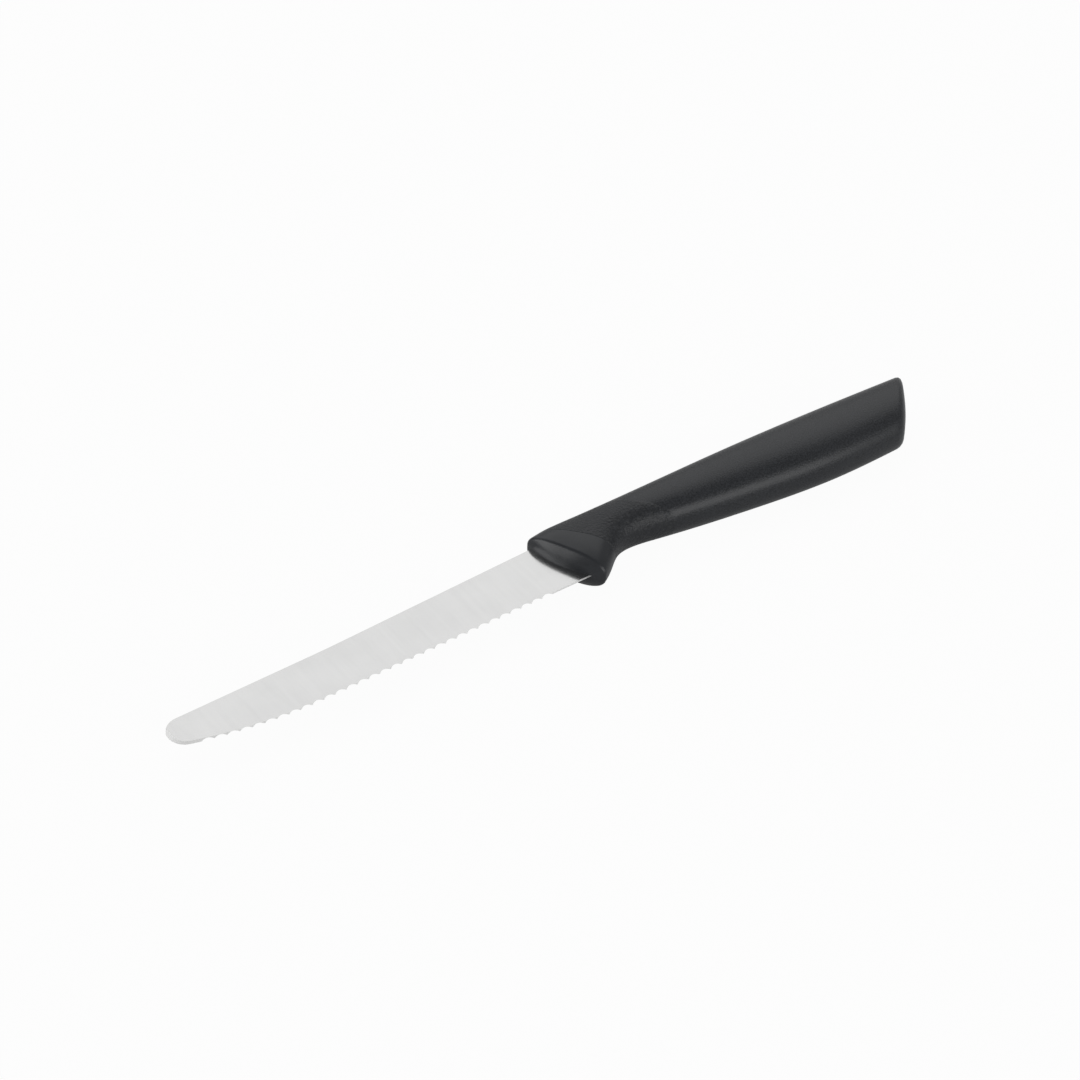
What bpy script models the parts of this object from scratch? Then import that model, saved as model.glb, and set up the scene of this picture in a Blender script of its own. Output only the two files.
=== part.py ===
import bpy
import bmesh
import numpy as np
from math import acos, atan2, ceil, cos, pi, radians, sin, sqrt, tan
from mathutils import Matrix, Vector

# Lengths are in metres and angles in degrees. The knife lies on its side: +X runs from the tip to the butt,
# +Y from the edge to the spine, and +Z out of the flat side of the blade. While it is being built, X = 0 and
# Y = 0 is where the spine goes into the handle, and Z = 0 is the middle of the steel.

# Blade strip
BLADE_LENGTH = 0.1102
BLADE_HEIGHT = 0.0168
STOCK_THICKNESS = 0.0013
SPINE_THICKNESS = 0.0012
EDGE_THICKNESS = 0.0005
SPINE_LEVEL = -0.0003
SPINE_FALL = 0.0019
SPINE_FALL_LENGTH = 0.062
SPINE_BEND_RADIUS = 0.300
SPINE_ROOT_RADIUS = 0.075
NOSE_FALL = 0.0021
NOSE_RADIUS = 0.0048
NOSE_GRIND_ANGLE = 70.0
BELLY_ANGLE = 17.0

# Ground edge
SCALLOP_COUNT = 31
SCALLOP_PITCH = 0.00324
SCALLOP_DEPTH = 0.00078
TOOTH_FLAT = 0.00020
PLAIN_HEEL = 0.0042
GRIND_ANGLE = 22.0
BEVEL_ANGLE = 14.0
BEVEL_HEIGHT = 0.0003
EDGE_LAND = 0.00008

# Heel and tang, inside the handle
HEEL_INSIDE = 0.0103
HEEL_ROUND = 0.0015
GRIND_RUN_OUT = 0.0012
SHOULDER_INSIDE = 0.0038
SHOULDER_ROUND = 0.0008
TANG_LENGTH = 0.070
TANG_HEIGHT = 0.0080
TANG_BELOW_SPINE = 0.0016
TANG_FILLET = 0.0020
TANG_END_ROUND = 0.0030
TANG_HOLE_COUNT = 3
TANG_HOLE_RADIUS = 0.0020
TANG_HOLE_FIRST = 0.022
TANG_HOLE_SPACING = 0.018
MOULD_GAP = 0.0003

# Handle, seen from the side
HANDLE_START = 0.0046
HANDLE_LENGTH = 0.1111
FACE_LEAN = 23.4
BUTT_LEAN = -36.0
LEAN_LEVEL = -0.007
LEAN_POWER = 0.9
FACE_ABOVE_SPINE = 0.0019
GUARD_BELOW_EDGE = 0.0028
GUARD_CROWN = 0.0021
COLLAR_CROWN = 0.0020
NECK_CROWN = 0.0018
WAIST_CROWN = 0.0015
GRIP_CROWN = 0.0013
PALM_CROWN = 0.0003
BUTT_CROWN = -0.0009
COLLAR_DEPTH = 0.0204
GUARD_DEPTH = 0.0180
NECK_DEPTH = 0.0141
WAIST_DEPTH = 0.0140
GRIP_DEPTH = 0.0181
PALM_DEPTH = 0.0198
BUTT_DEPTH = 0.0184

# Handle, seen from above
FACE_WIDTH = 0.0104
COLLAR_WIDTH = 0.0112
NECK_WIDTH = 0.0114
WAIST_WIDTH = 0.0120
GRIP_WIDTH = 0.0138
PALM_WIDTH = 0.0144
BUTT_WIDTH = 0.0136

# Handle sections: where the widest place lies, as a share of the depth, and the squareness of the upper and
# lower halves. The first values hold at the face and the second behind the guard.
FACE_WIDEST = 0.54
BODY_WIDEST = 0.50
FACE_UPPER = 3.0
BODY_UPPER = 2.5
FACE_LOWER = 2.4
BODY_LOWER = 2.3

# Handle ends
FACE_BULGE = 0.0022
FACE_ROUND = 0.0006
BUTT_BULGE = 0.0010
BUTT_ROUND = 0.0016

# Fineness of the curved faces
CHORD_ERROR = 0.00001
WELD_DISTANCE = 0.000002
SCALLOP_CUTTER_SIDES = 48
RING_COUNT = 56
RING_POINTS = 60
RING_CROWDING = 0.35
RIM_SEGMENTS = 3
CAP_SCALES = (0.74, 0.60, 0.44, 0.22)

# Reach of a cutter past the face it opens
CUTTER_REACH = 0.004

EDGE_LEVEL = SPINE_LEVEL - BLADE_HEIGHT
TAPER = atan2((SPINE_THICKNESS - EDGE_THICKNESS) / 2, BLADE_HEIGHT)


def removeOldObjects():
    for obj in list(bpy.data.objects):
        bpy.data.objects.remove(obj, do_unlink=True)


def addCollection(name, parent):
    collection = bpy.data.collections.new(name)
    parent.children.link(collection)
    return collection


def addMaterial(name, colour, roughness, metallic):
    material = bpy.data.materials.new(name)
    material.use_nodes = True
    shader = material.node_tree.nodes["Principled BSDF"]
    shader.inputs["Base Color"].default_value = (*colour, 1.0)
    shader.inputs["Roughness"].default_value = roughness
    shader.inputs["Metallic"].default_value = metallic
    return material


def addObject(name, mesh, collection):
    obj = bpy.data.objects.new(name, mesh)
    collection.objects.link(obj)
    return obj


def markCutter(obj):
    obj.hide_render = True
    obj.display_type = "WIRE"


def meshFromBmesh(name, bm):
    mesh = bpy.data.meshes.new(name)
    bmesh.ops.recalc_face_normals(bm, faces=bm.faces)
    bm.to_mesh(mesh)
    bm.free()
    return mesh


def meshFromCurve(name, curve, collection):
    # Turns a curve into a closed mesh with its end caps joined to its walls.
    source = addObject(name + " curve", curve, collection)
    bpy.context.view_layer.update()
    graph = bpy.context.evaluated_depsgraph_get()
    mesh = bpy.data.meshes.new_from_object(source.evaluated_get(graph))
    mesh.transform(source.matrix_world)
    bpy.data.objects.remove(source, do_unlink=True)
    bm = bmesh.new()
    bm.from_mesh(mesh)
    bmesh.ops.remove_doubles(bm, verts=bm.verts, dist=WELD_DISTANCE)
    return meshFromBmesh(name, bm)


def addSpline(curve, points, closed=True):
    spline = curve.splines.new("POLY")
    spline.points.add(len(points) - 1)
    for slot, (x, y) in zip(spline.points, points):
        slot.co = (x, y, 0.0, 1.0)
    spline.use_cyclic_u = closed


def weldSeams(target):
    weld = target.modifiers.new("Weld seams", "WELD")
    weld.merge_threshold = WELD_DISTANCE


def cutAway(target, cutter):
    modifier = target.modifiers.new("Cut " + cutter.name, "BOOLEAN")
    modifier.operation = "DIFFERENCE"
    modifier.solver = "EXACT"
    modifier.object = cutter
    weldSeams(target)


def arcSteps(radius, angle):
    # Number of chords that keeps a flat side this close to the true arc.
    chordAngle = 2 * acos(1 - CHORD_ERROR / radius)
    return max(2, ceil(abs(angle) / chordAngle))


def roundedOutline(corners, grow):
    # Each corner is a point and its radius, in counter-clockwise order. The whole outline moves out by grow.
    outline = []
    for index, (point, radius) in enumerate(corners):
        before = Vector(corners[index - 1][0])
        after = Vector(corners[(index + 1) % len(corners)][0])
        here = Vector(point)
        arriving = (here - before).normalized()
        leaving = (after - here).normalized()
        outArriving = Vector((arriving.y, -arriving.x))
        outLeaving = Vector((leaving.y, -leaving.x))
        here = here + (outArriving + outLeaving) * grow / (1 + outArriving.dot(outLeaving))
        turn = atan2(arriving.cross(leaving), arriving.dot(leaving))
        side = 1 if turn > 0 else -1
        radius = radius + side * grow
        centre = here - arriving * radius * tan(abs(turn) / 2) - outArriving * radius * side
        steps = arcSteps(radius, turn)
        for step in range(steps + 1):
            spoke = outArriving * side * radius
            spoke.rotate(Matrix.Rotation(turn * step / steps, 2))
            arcPoint = centre + spoke
            if not outline or (arcPoint - outline[-1]).length > CHORD_ERROR:
                outline.append(arcPoint)
    return outline


class EdgeLine:
    # The edge seen from the side: straight from the heel, then one arc, then straight on to the nose.
    def __init__(self):
        self.angle = radians(BELLY_ANGLE)
        self.noseCentre = Vector((NOSE_RADIUS - BLADE_LENGTH, SPINE_LEVEL - NOSE_FALL - NOSE_RADIUS))
        endX, endY = self.onNose(self.angle)
        self.cornerX = endX + (endY - EDGE_LEVEL) / tan(self.angle)
        arm = sqrt((self.cornerX - endX) ** 2 + (endY - EDGE_LEVEL) ** 2)
        self.radius = arm / tan(self.angle / 2)
        self.arcStart = self.cornerX + arm
        self.noseCornerY = endY + (endX + BLADE_LENGTH) * tan(self.angle)

    def onNose(self, angle):
        # Point of the round nose where its outline rises at this angle.
        return self.noseCentre - NOSE_RADIUS * Vector((sin(angle), cos(angle)))

    def at(self, distance):
        # Point on the edge at a distance from X = 0 towards the tip, and the way along the edge there.
        turned = min(max((distance + self.arcStart) / self.radius, 0.0), self.angle)
        past = distance + self.arcStart - turned * self.radius
        along = Vector((-cos(turned), sin(turned), 0.0))
        x = self.arcStart - self.radius * sin(turned)
        y = EDGE_LEVEL + self.radius * (1 - cos(turned))
        return Vector((x, y, 0.0)) + along * past, along

    def path(self):
        # From inside the handle to the round nose, along its lower side, and straight on past it.
        bellySteps = arcSteps(self.radius, self.angle)
        points = [self.at(-HEEL_INSIDE - CUTTER_REACH)[0].xy]
        for step in range(bellySteps + 1):
            distance = self.radius * self.angle * step / bellySteps - self.arcStart
            points.append(self.at(distance)[0].xy)
        noseTurn = radians(NOSE_GRIND_ANGLE)
        noseSteps = arcSteps(NOSE_RADIUS, noseTurn)
        for step in range(1, noseSteps + 1):
            points.append(self.onNose(self.angle + noseTurn * step / noseSteps))
        last = self.angle + noseTurn
        points.append(points[-1] + CUTTER_REACH * Vector((-cos(last), sin(last))))
        return points


def stripOutline(edge, grow):
    spineBend = (-SPINE_FALL_LENGTH, SPINE_LEVEL - SPINE_FALL)
    tangTop = SPINE_LEVEL - TANG_BELOW_SPINE
    tangBottom = tangTop - TANG_HEIGHT
    corners = [
        ((SHOULDER_INSIDE, SPINE_LEVEL), SHOULDER_ROUND),
        ((0.0, SPINE_LEVEL), SPINE_ROOT_RADIUS),
        (spineBend, SPINE_BEND_RADIUS),
        ((-BLADE_LENGTH, SPINE_LEVEL - NOSE_FALL), NOSE_RADIUS),
        ((-BLADE_LENGTH, edge.noseCornerY), NOSE_RADIUS),
        ((edge.cornerX, EDGE_LEVEL), edge.radius),
        ((HEEL_INSIDE, EDGE_LEVEL), HEEL_ROUND),
        ((HEEL_INSIDE, tangBottom), TANG_FILLET),
        ((TANG_LENGTH, tangBottom), TANG_END_ROUND),
        ((TANG_LENGTH, tangTop), TANG_END_ROUND),
        ((SHOULDER_INSIDE, tangTop), SHOULDER_ROUND),
    ]
    return roundedOutline(corners, grow)


def taperCutter(name, side, grow, collection):
    # A block whose lower face is the ground side of the blade.
    runOut = HEEL_INSIDE + GRIND_RUN_OUT + grow
    length = BLADE_LENGTH + CUTTER_REACH + runOut
    height = BLADE_HEIGHT + 2 * CUTTER_REACH
    tilt = Matrix.Rotation(TAPER if side > 0 else pi - TAPER, 4, "X")
    middleY = (SPINE_LEVEL + EDGE_LEVEL) / 2
    middleZ = side * (SPINE_THICKNESS + EDGE_THICKNESS) / 4
    onFace = Vector((runOut - length / 2, middleY, middleZ))
    centre = onFace + tilt.to_3x3() @ Vector((0.0, 0.0, CUTTER_REACH / 2 + grow))
    bm = bmesh.new()
    size = Matrix.Diagonal((length, height, CUTTER_REACH, 1.0))
    bmesh.ops.create_cube(bm, size=1.0, matrix=Matrix.Translation(centre) @ tilt @ size)
    cutter = addObject(name, meshFromBmesh(name, bm), collection)
    markCutter(cutter)
    return cutter


def bevelCutter(name, side, grow, edge, collection):
    # A four-sided bar swept along the edge. One of its sides is the bevel, and it reaches out past the steel.
    apex = EDGE_THICKNESS / 2 - BEVEL_HEIGHT * tan(radians(BEVEL_ANGLE))
    if side < 0:
        apex -= EDGE_LAND
    slope = radians(BEVEL_ANGLE if side > 0 else -GRIND_ANGLE)
    along = Vector((cos(slope), sin(slope)))
    outward = Vector((-sin(slope), cos(slope))) * side
    start = Vector((0.0, apex)) + outward * grow
    bar = [
        start - along * CUTTER_REACH,
        start + along * CUTTER_REACH,
        start + along * CUTTER_REACH + outward * CUTTER_REACH,
        start - along * CUTTER_REACH + outward * CUTTER_REACH,
    ]
    profileCurve = bpy.data.curves.new(name + " profile", "CURVE")
    profileCurve.dimensions = "2D"
    addSpline(profileCurve, bar)
    profile = addObject(name + " profile", profileCurve, collection)
    markCutter(profile)
    pathCurve = bpy.data.curves.new(name, "CURVE")
    pathCurve.dimensions = "2D"
    pathCurve.bevel_mode = "OBJECT"
    pathCurve.bevel_object = profile
    pathCurve.use_fill_caps = True
    addSpline(pathCurve, edge.path(), closed=False)
    cutter = addObject(name, meshFromCurve(name, pathCurve, collection), collection)
    markCutter(cutter)
    return cutter


def holeCutter(name, grow, collection):
    # The punches of the tang's round holes.
    radius = TANG_HOLE_RADIUS - grow
    holeY = SPINE_LEVEL - TANG_BELOW_SPINE - TANG_HEIGHT / 2
    bm = bmesh.new()
    for index in range(TANG_HOLE_COUNT):
        holeX = TANG_HOLE_FIRST + TANG_HOLE_SPACING * index
        bmesh.ops.create_cone(
            bm,
            cap_ends=True,
            segments=arcSteps(radius, 2 * pi),
            radius1=radius,
            radius2=radius,
            depth=2 * CUTTER_REACH,
            matrix=Matrix.Translation((holeX, holeY, 0.0)),
        )
    cutter = addObject(name, meshFromBmesh(name, bm), collection)
    markCutter(cutter)
    return cutter


def groundStrip(name, grow, edge, collection, cutters):
    # The stamped strip with its tang holes, tapered on both sides and bevelled along the edge.
    curve = bpy.data.curves.new(name, "CURVE")
    curve.dimensions = "2D"
    curve.fill_mode = "BOTH"
    curve.extrude = STOCK_THICKNESS / 2 + grow
    addSpline(curve, stripOutline(edge, grow))
    strip = addObject(name, meshFromCurve(name, curve, collection), collection)
    cutAway(strip, holeCutter(name + " holes", grow, cutters))
    for side, word in ((1, "near"), (-1, "far")):
        cutAway(strip, taperCutter(name + " " + word + " taper", side, grow, cutters))
        cutAway(strip, bevelCutter(name + " " + word + " bevel", side, grow, edge, cutters))
    return strip


def scallopCutters(edge, cutters):
    # Each scallop is a round flute. It comes up from the edge at the grinding angle and out of the far side.
    flutes = addCollection("Scallop cutters", cutters)
    grind = radians(GRIND_ANGLE)
    apex = EDGE_THICKNESS / 2 - BEVEL_HEIGHT * tan(radians(BEVEL_ANGLE))
    depthAtApex = SCALLOP_DEPTH + (EDGE_THICKNESS / 2 - apex) / tan(grind)
    sag = depthAtApex * sin(grind)
    halfChord = (SCALLOP_PITCH - TOOTH_FLAT) / 2
    radius = (halfChord ** 2 + sag ** 2) / (2 * sag)
    for index in range(SCALLOP_COUNT):
        point, along = edge.at(PLAIN_HEEL + SCALLOP_PITCH * (index + 0.5))
        inward = Vector((along.y, -along.x, 0.0))
        up = Vector((0.0, 0.0, 1.0))
        flute = inward * cos(grind) - up * sin(grind)
        outward = -inward * sin(grind) - up * cos(grind)
        centre = point + inward * depthAtApex + up * apex + outward * radius
        frame = Matrix((flute.cross(along), along, flute)).transposed().to_4x4()
        bm = bmesh.new()
        bmesh.ops.create_cone(
            bm,
            cap_ends=True,
            segments=SCALLOP_CUTTER_SIDES,
            radius1=radius,
            radius2=radius,
            depth=2 * CUTTER_REACH,
            matrix=Matrix.Translation(centre) @ frame,
        )
        name = "Scallop cutter %d" % (index + 1)
        markCutter(addObject(name, meshFromBmesh(name, bm), flutes))
    return flutes


def buildBlade(edge, collection, cutters):
    blade = groundStrip("blade", 0.0, edge, collection, cutters)
    modifier = blade.modifiers.new("Scallops", "BOOLEAN")
    modifier.operation = "DIFFERENCE"
    modifier.solver = "EXACT"
    modifier.operand_type = "COLLECTION"
    modifier.collection = scallopCutters(edge, cutters)
    weldSeams(blade)
    blade.data.materials.append(addMaterial("Ground steel", (0.62, 0.63, 0.64), 0.32, 1.0))
    return blade


def smoothCurve(places, values, wanted):
    # Natural cubic spline through the values: no bending at its two ends.
    places = np.array(places)
    values = np.array(values)
    gaps = np.diff(places)
    slopes = np.diff(values) / gaps
    count = len(places)
    system = np.eye(count)
    right = np.zeros(count)
    for k in range(1, count - 1):
        system[k, k - 1:k + 2] = (gaps[k - 1], 2 * (gaps[k - 1] + gaps[k]), gaps[k])
        right[k] = 6 * (slopes[k] - slopes[k - 1])
    bends = np.linalg.solve(system, right)
    k = np.clip(np.searchsorted(places, wanted) - 1, 0, count - 2)
    t = wanted - places[k]
    first = slopes[k] - gaps[k] * (2 * bends[k] + bends[k + 1]) / 6
    return values[k] + first * t + bends[k] / 2 * t ** 2 + (bends[k + 1] - bends[k]) / (6 * gaps[k]) * t ** 3


def handleSections():
    # One row per section along the handle: place, level of the top, depth, width, and how far its shape has
    # gone from that of the face (0) to that of the body (1).
    faceTop = SPINE_LEVEL + FACE_ABOVE_SPINE
    faceDepth = FACE_ABOVE_SPINE + BLADE_HEIGHT + GUARD_BELOW_EDGE
    rows = [
        (0.000, faceTop, faceDepth, FACE_WIDTH, 0.0),
        (0.031, COLLAR_CROWN, COLLAR_DEPTH, COLLAR_WIDTH, 0.2),
        (0.072, GUARD_CROWN, GUARD_DEPTH, NECK_WIDTH, 0.6),
        (0.131, NECK_CROWN, NECK_DEPTH, NECK_WIDTH, 1.0),
        (0.249, WAIST_CROWN, WAIST_DEPTH, WAIST_WIDTH, 1.0),
        (0.503, GRIP_CROWN, GRIP_DEPTH, GRIP_WIDTH, 1.0),
        (0.776, PALM_CROWN, PALM_DEPTH, PALM_WIDTH, 1.0),
        (1.000, BUTT_CROWN, BUTT_DEPTH, BUTT_WIDTH, 1.0),
    ]
    columns = list(zip(*rows))
    u = np.linspace(0.0, 1.0, RING_COUNT)
    places = RING_CROWDING * u + (1 - RING_CROWDING) * u ** 2
    return [places] + [smoothCurve(columns[0], column, places) for column in columns[1:]]


def sectionRing(place, top, depth, width, shape):
    widest = FACE_WIDEST + (BODY_WIDEST - FACE_WIDEST) * shape
    upper = FACE_UPPER + (BODY_UPPER - FACE_UPPER) * shape
    lower = FACE_LOWER + (BODY_LOWER - FACE_LOWER) * shape
    lean = FACE_LEAN + (BUTT_LEAN - FACE_LEAN) * place ** LEAN_POWER
    ring = []
    for k in range(RING_POINTS):
        turn = 2 * pi * k / RING_POINTS
        rise = abs(cos(turn))
        swell = abs(sin(turn))
        if cos(turn) >= 0:
            share = widest * (1 - rise ** (2 / upper))
            half = swell ** (2 / upper)
        else:
            share = widest + (1 - widest) * rise ** (2 / lower)
            half = swell ** (2 / lower)
        y = top - depth * share
        x = HANDLE_START + HANDLE_LENGTH * place - (y - LEAN_LEVEL) * tan(radians(lean))
        z = width / 2 * half * (1 if sin(turn) >= 0 else -1)
        ring.append(Vector((x, y, z)))
    return ring


def addRing(bm, ring):
    return [bm.verts.new(point) for point in ring]


def bridge(bm, first, second):
    for k in range(len(first)):
        following = (k + 1) % len(first)
        bm.faces.new((first[k], first[following], second[following], second[k]))


def domeEnd(bm, rim, outward, bulge):
    # Closes an end of the handle with shrinking copies of its last section, pushed out into a dome.
    points = [vert.co.copy() for vert in rim]
    centre = (points[0] + points[RING_POINTS // 2]) / 2
    outer = rim
    for scale in CAP_SCALES:
        push = outward * bulge * (1 - scale ** 2)
        inner = addRing(bm, [centre + (point - centre) * scale + push for point in points])
        bridge(bm, outer, inner)
        outer = inner
    middle = bm.verts.new(centre + outward * bulge)
    for k in range(len(outer)):
        bm.faces.new((outer[k], outer[(k + 1) % len(outer)], middle))


def roundRim(bm, rim, radius):
    inRim = set(rim)
    edges = [edge for edge in bm.edges if edge.verts[0] in inRim and edge.verts[1] in inRim]
    bmesh.ops.bevel(
        bm,
        geom=edges,
        offset=radius,
        offset_type="OFFSET",
        profile_type="SUPERELLIPSE",
        segments=RIM_SEGMENTS,
        profile=0.5,
        affect="EDGES",
        clamp_overlap=True,
        material=-1,
    )


def buildHandle(edge, collection, cutters):
    bm = bmesh.new()
    rings = [addRing(bm, sectionRing(*section)) for section in zip(*handleSections())]
    for first, second in zip(rings, rings[1:]):
        bridge(bm, first, second)
    face = radians(FACE_LEAN)
    butt = radians(BUTT_LEAN)
    domeEnd(bm, rings[0], Vector((-cos(face), -sin(face), 0.0)), FACE_BULGE)
    domeEnd(bm, rings[-1], Vector((cos(butt), sin(butt), 0.0)), BUTT_BULGE)
    bmesh.ops.recalc_face_normals(bm, faces=bm.faces)
    roundRim(bm, rings[0], FACE_ROUND)
    roundRim(bm, rings[-1], BUTT_ROUND)
    for surface in bm.faces:
        surface.smooth = True
    handle = addObject("handle", meshFromBmesh("handle", bm), collection)
    pocket = groundStrip("Tang pocket cutter", MOULD_GAP, edge, cutters, cutters)
    markCutter(pocket)
    cutAway(handle, pocket)
    handle.data.materials.append(addMaterial("Grained plastic", (0.034, 0.037, 0.041), 0.48, 0.0))
    return handle


def centreOnTable(parts):
    # Moves everything so that the knife stands on Z = 0 with the middle of its outer box above X = Y = 0.
    bpy.context.view_layer.update()
    graph = bpy.context.evaluated_depsgraph_get()
    points = []
    for part in parts:
        solid = part.evaluated_get(graph)
        points += [part.matrix_world @ vert.co for vert in solid.to_mesh().vertices]
        solid.to_mesh_clear()
    low = [min(point[axis] for point in points) for axis in range(3)]
    high = [max(point[axis] for point in points) for axis in range(3)]
    move = Vector((-(low[0] + high[0]) / 2, -(low[1] + high[1]) / 2, -low[2]))
    for obj in bpy.data.objects:
        obj.location = obj.location + move


def main():
    removeOldObjects()
    parts = addCollection("Serrated utility knife", bpy.context.scene.collection)
    cutters = addCollection("Cutters", bpy.context.scene.collection)
    edge = EdgeLine()
    blade = buildBlade(edge, parts, cutters)
    handle = buildHandle(edge, parts, cutters)
    centreOnTable([blade, handle])


main()
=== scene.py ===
from math import cos, pi, radians, sin, sqrt

import bmesh
import bpy
from mathutils import Matrix, Vector


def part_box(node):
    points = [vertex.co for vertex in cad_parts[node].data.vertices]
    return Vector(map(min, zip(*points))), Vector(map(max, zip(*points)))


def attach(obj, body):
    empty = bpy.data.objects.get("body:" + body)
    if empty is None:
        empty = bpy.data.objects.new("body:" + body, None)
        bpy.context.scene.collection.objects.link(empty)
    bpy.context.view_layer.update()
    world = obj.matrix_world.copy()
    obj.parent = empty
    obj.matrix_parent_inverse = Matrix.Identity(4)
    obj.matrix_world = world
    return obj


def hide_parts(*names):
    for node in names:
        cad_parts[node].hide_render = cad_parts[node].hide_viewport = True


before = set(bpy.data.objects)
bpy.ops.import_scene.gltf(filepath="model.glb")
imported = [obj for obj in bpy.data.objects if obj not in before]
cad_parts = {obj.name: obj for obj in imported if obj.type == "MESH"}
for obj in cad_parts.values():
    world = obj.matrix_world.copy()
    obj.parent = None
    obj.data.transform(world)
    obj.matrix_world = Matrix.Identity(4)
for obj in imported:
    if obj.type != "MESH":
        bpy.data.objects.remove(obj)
bpy.context.view_layer.update()
mm = 0.001
print("frame loaded:", ", ".join(sorted(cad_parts)))


# a number on its way through a finish, so that the maths on it reads as Python
class Wire:
    def __init__(self, finish, socket):
        self.finish = finish
        self.socket = socket

    def __add__(self, other):
        return self.finish.maths("ADD", self, other)

    def __radd__(self, other):
        return self.finish.maths("ADD", other, self)

    def __sub__(self, other):
        return self.finish.maths("SUBTRACT", self, other)

    def __rsub__(self, other):
        return self.finish.maths("SUBTRACT", other, self)

    def __mul__(self, other):
        return self.finish.maths("MULTIPLY", self, other)

    def __rmul__(self, other):
        return self.finish.maths("MULTIPLY", other, self)


# one Principled material and the nodes that feed it
class Finish:
    def __init__(self, name, plain):
        self.material = bpy.data.materials.new(name)
        self.material.use_nodes = True
        self.tree = self.material.node_tree
        self.shader = self.tree.nodes["Principled BSDF"]
        for socket, value in plain.items():
            self.shader.inputs[socket].default_value = value
        self.place = self.node("ShaderNodeTexCoord", {}, {}, "Object")

    def node(self, kind, settings, sockets, output=0):
        made = self.tree.nodes.new(kind)
        for name, value in settings.items():
            setattr(made, name, value)
        for name, value in sockets.items():
            if isinstance(value, Wire):
                self.tree.links.new(value.socket, made.inputs[name])
            else:
                made.inputs[name].default_value = value
        return Wire(self, made.outputs[output])

    def maths(self, operation, first, second):
        return self.node("ShaderNodeMath", {"operation": operation}, {0: first, 1: second})

    def feed(self, socket, wire):
        self.tree.links.new(wire.socket, self.shader.inputs[socket])

    # 0 below low, 1 above high, and a smooth rise between them
    def rise(self, value, low, high):
        sockets = {"Value": value, "From Min": low, "From Max": high}
        return self.node("ShaderNodeMapRange", {"interpolation_type": "SMOOTHSTEP"}, sockets)

    # noise whose spots are about size wide along x, y and z, in metres
    def noise(self, size, detail=2.0):
        sockets = {"Vector": self.place, "Scale": [1 / side for side in size]}
        spread = self.node("ShaderNodeMapping", {"vector_type": "POINT"}, sockets)
        return self.node("ShaderNodeTexNoise", {}, {"Vector": spread, "Scale": 1.0, "Detail": detail})

    def axis(self, name):
        return self.node("ShaderNodeSeparateXYZ", {}, {"Vector": self.place}, name)

    def blend(self, share, first, second):
        sockets = {"Factor": share, 6: (*first, 1), 7: (*second, 1)}
        return self.node("ShaderNodeMix", {"data_type": "RGBA"}, sockets, 2)

    def bump(self, height, depth):
        self.feed("Normal", self.node("ShaderNodeBump", {}, {"Height": height, "Distance": depth}))


def mergedCopy(node):
    bm = bmesh.new()
    bm.from_mesh(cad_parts[node].data)
    bmesh.ops.remove_doubles(bm, verts=bm.verts, dist=0.001 * mm)
    return bm


def addPiece(name, bm, finishes, node):
    mesh = bpy.data.meshes.new(name)
    bm.to_mesh(mesh)
    bm.free()
    for finish in finishes:
        mesh.materials.append(finish.material)
    piece = bpy.data.objects.new(name, mesh)
    bpy.context.scene.collection.objects.link(piece)
    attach(piece, "root")
    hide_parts(node)
    return piece


bladeLooks = {
    "steel": (0.610, 0.610, 0.607),
    "steelDull": (0.575, 0.575, 0.573),
    "groundRoughness": 0.15,
    # the wheel-ground bevels and the stamped wall get a far paler steel than the flats: a painted highlight,
    # so that they read as bright as the flats where they reflect darker surroundings
    "paintedBrightWheelSteel": (0.88, 0.88, 0.875),
    "paintedBrightWheelDull": (0.82, 0.82, 0.815),
    "wheelRoughness": 0.48,
    "stampedRoughness": 0.42,
    "grindLine": (0.06 * mm, 2.8 * mm, 2.8 * mm),
    "grindBand": (1.3 * mm, 14 * mm, 14 * mm),
    "grindDepth": 0.00025 * mm,
    "wheelDepth": 0.0008 * mm,
    "smudge": (16 * mm, 10 * mm, 10 * mm),
    "tear": (0.12 * mm, 0.12 * mm, 0.9 * mm),
    "tearDepth": 0.006 * mm,
    "brokenCorner": 0.06 * mm,
    "insideHandle": 4 * mm,
    "flat": 0.99,
    "wall": 0.5,
    "sharpAbove": 12,
}


def groundSteel():
    looks = bladeLooks
    finish = Finish("groundSteel", {"Metallic": 1.0})
    lines = finish.noise(looks["grindLine"])
    bands = finish.noise(looks["grindBand"])
    smudge = finish.noise(looks["smudge"], 3.0)
    dull = finish.rise(bands * 0.4 + smudge * 0.6, 0.30, 0.75)
    finish.feed("Base Color", finish.blend(dull, looks["steel"], looks["steelDull"]))
    finish.feed("Roughness", looks["groundRoughness"] + (smudge - 0.5) * 0.06 + (lines - 0.5) * 0.05)
    finish.bump(lines + bands * 0.5, looks["grindDepth"])
    return finish


def paintedBrightWheelSteel():
    looks = bladeLooks
    # the same steel as the flats, painted paler as a painted highlight on the wheel-ground bevels
    finish = Finish("wheelGroundSteelPaintedBright", {"Metallic": 1.0})
    lines = finish.noise(looks["grindLine"])
    finish.feed("Base Color", finish.blend(lines, looks["paintedBrightWheelSteel"], looks["paintedBrightWheelDull"]))
    finish.feed("Roughness", looks["wheelRoughness"] + (lines - 0.5) * 0.10)
    finish.bump(lines, looks["wheelDepth"])
    return finish


def paintedBrightStampedSteel():
    looks = bladeLooks
    # the stamped wall takes the same painted-paler steel as a painted highlight, with its own tear marks on
    # it
    finish = Finish("paintedBrightStampedSteel", {"Metallic": 1.0})
    tear = finish.noise(looks["tear"], 4.0)
    finish.feed("Base Color", finish.blend(tear, looks["paintedBrightWheelSteel"], looks["paintedBrightWheelDull"]))
    finish.feed("Roughness", looks["stampedRoughness"] + (tear - 0.5) * 0.16)
    finish.bump(tear, looks["tearDepth"])
    return finish


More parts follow.
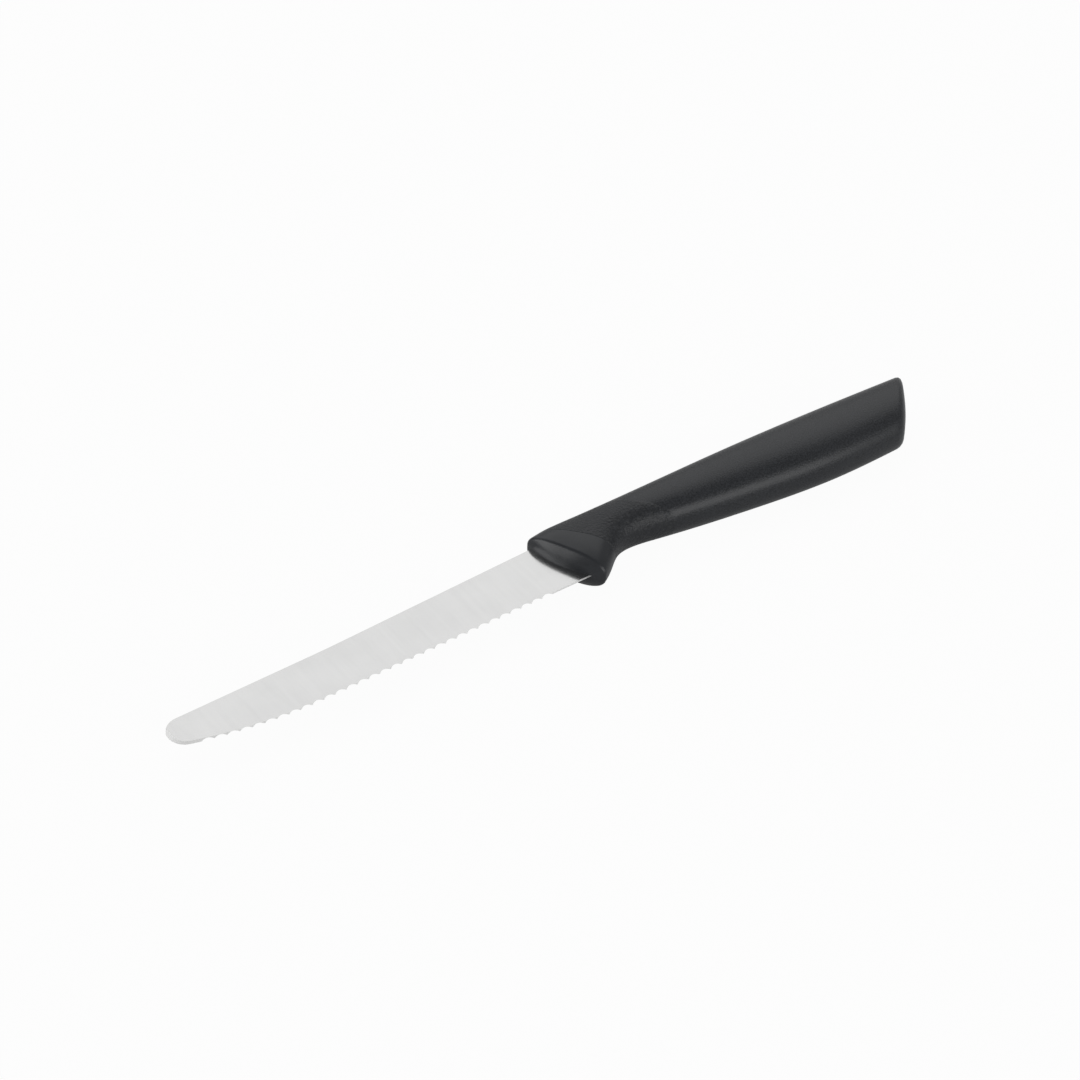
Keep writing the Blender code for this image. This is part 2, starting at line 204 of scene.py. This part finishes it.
def buildBlade():
    looks = bladeLooks
    bm = mergedCopy("blade")
    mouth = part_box("handle")[0].x
    corners = []
    for edge in bm.edges:
        lift = sorted(abs(face.normal.z) for face in edge.link_faces)
        outside = min(vert.co.x for vert in edge.verts) < mouth + looks["insideHandle"]
        if lift[0] < looks["wall"] and lift[1] > looks["flat"] and outside:
            corners.append(edge)
    bmesh.ops.bevel(bm, geom=corners, offset=looks["brokenCorner"], offset_type="OFFSET",
                    segments=2, profile=0.5, affect="EDGES", clamp_overlap=True, material=-1)
    for face in bm.faces:
        face.smooth = True
        lift = abs(face.normal.z)
        # the flats, the wheel's cuts and the stamped wall are told apart by how level their faces lie
        face.material_index = 0 if lift > looks["flat"] else 2 if lift < looks["wall"] else 1
    finishes = [groundSteel(), paintedBrightWheelSteel(), paintedBrightStampedSteel()]
    blade = addPiece("bladeSteel", bm, finishes, "blade")
    blade.data.set_sharp_from_angle(angle=radians(looks["sharpAbove"]))
    print("blade dressed:", len(corners), "corners broken,", len(blade.data.polygons), "faces")
    return blade


handleLooks = {
    "plastic": (0.0060, 0.0074, 0.0098),
    "plasticPale": (0.0170, 0.0190, 0.0228),
    "shine": 0.42,
    "fineRoughness": 0.34,
    "coarseRoughness": 0.43,
    "collarRoughness": 0.33,
    "coarseDarker": 0.08,
    "wander": (9 * mm, 6 * mm, 6 * mm),
    "fineGrain": 0.38 * mm,
    "coarseGrain": 0.68 * mm,
    "fineDepth": 0.055 * mm,
    "coarseDepth": 0.240 * mm,
    "collarEnd": (3.28 * mm, 6.19 * mm),
    "collarLean": 0.793,
    "waistEnd": (28.28 * mm, 0.19 * mm),
    "waistLean": 0.89,
    "lineWidth": 0.25 * mm,
    "waistFade": 1.2 * mm,
    "faceLean": 23.4,
    "facePoint": (-0.075 * mm, 1.791 * mm),
    "faceSlice": 0.45 * mm,
    "faceBulge": 2.2 * mm,
    "faceRings": 12,
    "sharpAbove": 40,
}


def grainedPlastic():
    looks = handleLooks
    finish = Finish("grainedPlastic", {"Metallic": 0.0, "Specular IOR Level": looks["shine"]})
    x = finish.axis("X")
    y = finish.axis("Y")
    collarX, collarY = looks["collarEnd"]
    waistX, waistY = looks["waistEnd"]
    pastCollar = x - collarX + (y - collarY) * looks["collarLean"]
    pastWaist = x - waistX + (y - waistY) * looks["waistLean"]
    grained = finish.rise(pastCollar, 0.0, looks["lineWidth"])
    fine = finish.rise(pastWaist, -looks["waistFade"] / 2, looks["waistFade"] / 2)
    coarse = grained * (1 - fine)
    wander = finish.noise(looks["wander"], 3.0)
    cloud = finish.noise((looks["coarseGrain"],) * 3, 2.0)
    speck = finish.noise((looks["fineGrain"],) * 3, 2.0)
    grain = fine * (speck - 0.5) * 2.2 + coarse * 1.6 * (cloud - 0.5 - looks["coarseDarker"])
    pale = finish.rise((wander - 0.5) * 0.4 + grain * 1.2, -0.28, 0.28)
    finish.feed("Base Color", finish.blend(pale, looks["plastic"], looks["plasticPale"]))
    spread = (looks["fineRoughness"] - looks["collarRoughness"]) * grained
    coarser = (looks["coarseRoughness"] - looks["fineRoughness"]) * coarse
    uneven = (wander - 0.5) * 0.06 + grain * 0.15
    finish.feed("Roughness", looks["collarRoughness"] + spread + coarser + uneven)
    relief = coarse * cloud * (looks["coarseDepth"] / looks["fineDepth"]) + fine * speck
    finish.bump(relief, looks["fineDepth"])
    return finish


def closeFace(bm, looks):
    # the plastic is shot onto the steel and grips it without a gap: the front dome is sliced off above its
    # rim, the loose pocket behind it goes, and the dome is built up again round the blade
    lean = radians(looks["faceLean"])
    outward = Vector((-cos(lean), -sin(lean), 0))
    sliceHeight = looks["faceSlice"]
    cut = Vector((*looks["facePoint"], 0)) + outward * sliceHeight
    everything = bm.verts[:] + bm.edges[:] + bm.faces[:]
    bmesh.ops.bisect_plane(bm, geom=everything, plane_co=cut, plane_no=outward, clear_outer=True)
    outside = set()
    waiting = [max(bm.verts, key=lambda vert: vert.co.x)]
    while waiting:
        vert = waiting.pop()
        if vert not in outside:
            outside.add(vert)
            waiting += [edge.other_vert(vert) for edge in vert.link_edges]
    bmesh.ops.delete(bm, geom=[vert for vert in bm.verts if vert not in outside], context="VERTS")
    loop = [edge for edge in bm.edges if edge.is_boundary]
    rim = {vert for edge in loop for vert in edge.verts}
    top = max(rim, key=lambda vert: vert.co.y).co
    bottom = min(rim, key=lambda vert: vert.co.y).co
    middle = (top + bottom) / 2
    bulge = looks["faceBulge"]
    rimShare = sqrt(1 - sliceHeight / bulge)
    share = rimShare
    height = sliceHeight
    for ring in reversed(range(looks["faceRings"])):
        smaller = rimShare * ring / looks["faceRings"]
        raised = bmesh.ops.extrude_edge_only(bm, edges=loop)["geom"]
        verts = [item for item in raised if isinstance(item, bmesh.types.BMVert)]
        loop = [item for item in raised if isinstance(item, bmesh.types.BMEdge)]
        bmesh.ops.scale(bm, vec=(smaller / share,) * 3, space=Matrix.Translation(-middle), verts=verts)
        higher = bulge * (1 - smaller ** 2)
        push = outward * (higher - height)
        bmesh.ops.translate(bm, vec=push, verts=verts)
        middle = middle + push
        share = smaller
        height = higher
    bmesh.ops.remove_doubles(bm, verts=verts, dist=0.001 * mm)
    bmesh.ops.recalc_face_normals(bm, faces=bm.faces)
    return len(rim)


def buildHandle():
    looks = handleLooks
    bm = mergedCopy("handle")
    rimPoints = closeFace(bm, looks)
    for face in bm.faces:
        face.smooth = True
    handle = addPiece("handleMoulding", bm, [grainedPlastic()], "handle")
    handle.data.set_sharp_from_angle(angle=radians(looks["sharpAbove"]))
    print("handle dressed: face closed from", rimPoints, "points,", len(handle.data.polygons), "faces")
    return handle


studio = {
    "paper": (0.60, 0.60, 0.60),
    "paperFleck": (0.64, 0.64, 0.64),
    "fleck": 0.8 * mm,
    "whiteShare": 0.96,
    "mirrorShare": 0.25,
    "floorRadius": 6.0,
    "rimHeight": 0.9,
    "rimRound": 0.5,
    "wallGrey": 0.50,
    "ceilingGrey": 0.38,
    "ceilingFrom": (0.72, 0.92),
}
lamps = {
    "backSoftbox": {"azimuth": 30, "elevation": 45, "distance": 2.4, "size": (3.4, 2.0), "glow": 0.70},
    "frontSoftbox": {"azimuth": 171, "elevation": 20, "distance": 2.4, "size": (1.9, 1.5), "glow": 2.2},
    "leftSoftbox": {"azimuth": -72, "elevation": 20, "distance": 2.4, "size": (1.4, 1.5), "glow": 3.0},
}


def heading(azimuth, elevation):
    # azimuth 0 is towards +Y and 90 towards +X
    a = radians(azimuth)
    e = radians(elevation)
    return Vector((sin(a) * cos(e), cos(a) * cos(e), sin(e)))


def buildStudio():
    bm = bmesh.new()
    bmesh.ops.create_circle(bm, cap_ends=True, segments=128, radius=studio["floorRadius"])
    rim = [edge for edge in bm.edges if edge.is_boundary]
    raised = bmesh.ops.extrude_edge_only(bm, edges=rim)["geom"]
    bmesh.ops.translate(bm, verts=[item for item in raised if isinstance(item, bmesh.types.BMVert)],
                        vec=(0, 0, studio["rimHeight"]))
    fold = [edge for edge in bm.edges if all(abs(vert.co.z) < mm for vert in edge.verts)]
    bmesh.ops.bevel(bm, geom=fold, offset=studio["rimRound"], offset_type="OFFSET",
                    segments=12, profile=0.5, affect="EDGES", clamp_overlap=True, material=-1)
    mesh = bpy.data.meshes.new("studioSweep")
    bm.to_mesh(mesh)
    bm.free()
    mesh.shade_smooth()
    paper = Finish("palePaper", {"Roughness": 0.9, "Specular IOR Level": 0.0})
    flecks = paper.noise((studio["fleck"],) * 3)
    paper.feed("Base Color", paper.blend(flecks, studio["paper"], studio["paperFleck"]))
    camera, glossy, through = (paper.node("ShaderNodeLightPath", {}, {}, "Is %s Ray" % ray)
                               for ray in ("Camera", "Glossy", "Transmission"))
    seen = (camera + through) * studio["whiteShare"] + glossy * studio["mirrorShare"]
    white = paper.node("ShaderNodeEmission", {}, {"Strength": 1.0})
    lit = Wire(paper, paper.shader.outputs["BSDF"])
    mixed = paper.node("ShaderNodeMixShader", {}, {0: seen, 1: lit, 2: white})
    paper.tree.links.new(mixed.socket, paper.tree.nodes["Material Output"].inputs["Surface"])
    mesh.materials.append(paper.material)
    sweep = bpy.data.objects.new("studioSweep", mesh)
    bpy.context.scene.collection.objects.link(sweep)
    for name, lamp in lamps.items():
        width, height = lamp["size"]
        light = bpy.data.lights.new(name, "AREA")
        light.shape = "RECTANGLE"
        light.size = width
        light.size_y = height
        light.energy = lamp["glow"] * pi * width * height
        fixture = bpy.data.objects.new(name, light)
        away = heading(lamp["azimuth"], lamp["elevation"])
        fixture.location = away * lamp["distance"]
        fixture.rotation_euler = away.to_track_quat("Z", "Y").to_euler()
        fixture.visible_camera = False
        bpy.context.scene.collection.objects.link(fixture)
    world = bpy.data.worlds.new("studioRoom")
    world.use_nodes = True
    nodes = world.node_tree.nodes
    links = world.node_tree.links
    around = nodes.new("ShaderNodeTexCoord")
    upward = nodes.new("ShaderNodeSeparateXYZ")
    grey = nodes.new("ShaderNodeMapRange")
    grey.interpolation_type = "SMOOTHSTEP"
    low, high = studio["ceilingFrom"]
    room = {"From Min": low, "From Max": high, "To Min": studio["wallGrey"], "To Max": studio["ceilingGrey"]}
    for name, value in room.items():
        grey.inputs[name].default_value = value
    links.new(around.outputs["Generated"], upward.inputs["Vector"])
    links.new(upward.outputs["Z"], grey.inputs["Value"])
    links.new(grey.outputs["Result"], nodes["Background"].inputs["Strength"])
    nodes["Background"].inputs["Color"].default_value = (1, 1, 1, 1)
    bpy.context.scene.world = world
    print("studio set:", len(lamps), "lamps")


view = {
    "aim": Vector((0.609 * mm, 10.581 * mm, 7.316 * mm)),
    "azimuth": -35.228,
    "elevation": 40.2,
    "distance": 1050.7 * mm,
    "lens": 138.03,
    "sensor": 36,
}


def placeCamera():
    a = radians(view["azimuth"])
    e = radians(view["elevation"])
    back = Vector((sin(a) * cos(e), -cos(a) * cos(e), sin(e)))
    data = bpy.data.cameras.new("photoCamera")
    data.lens = view["lens"]
    data.sensor_width = view["sensor"]
    data.clip_end = 50
    camera = bpy.data.objects.new("photoCamera", data)
    camera.location = view["aim"] + back * view["distance"]
    camera.rotation_euler = back.to_track_quat("Z", "Y").to_euler()
    bpy.context.scene.collection.objects.link(camera)
    bpy.context.scene.camera = camera
    print("camera placed")


buildBlade()
buildHandle()
buildStudio()
placeCamera()
bpy.context.scene.view_settings.view_transform = "Standard"
bpy.context.view_layer.update()
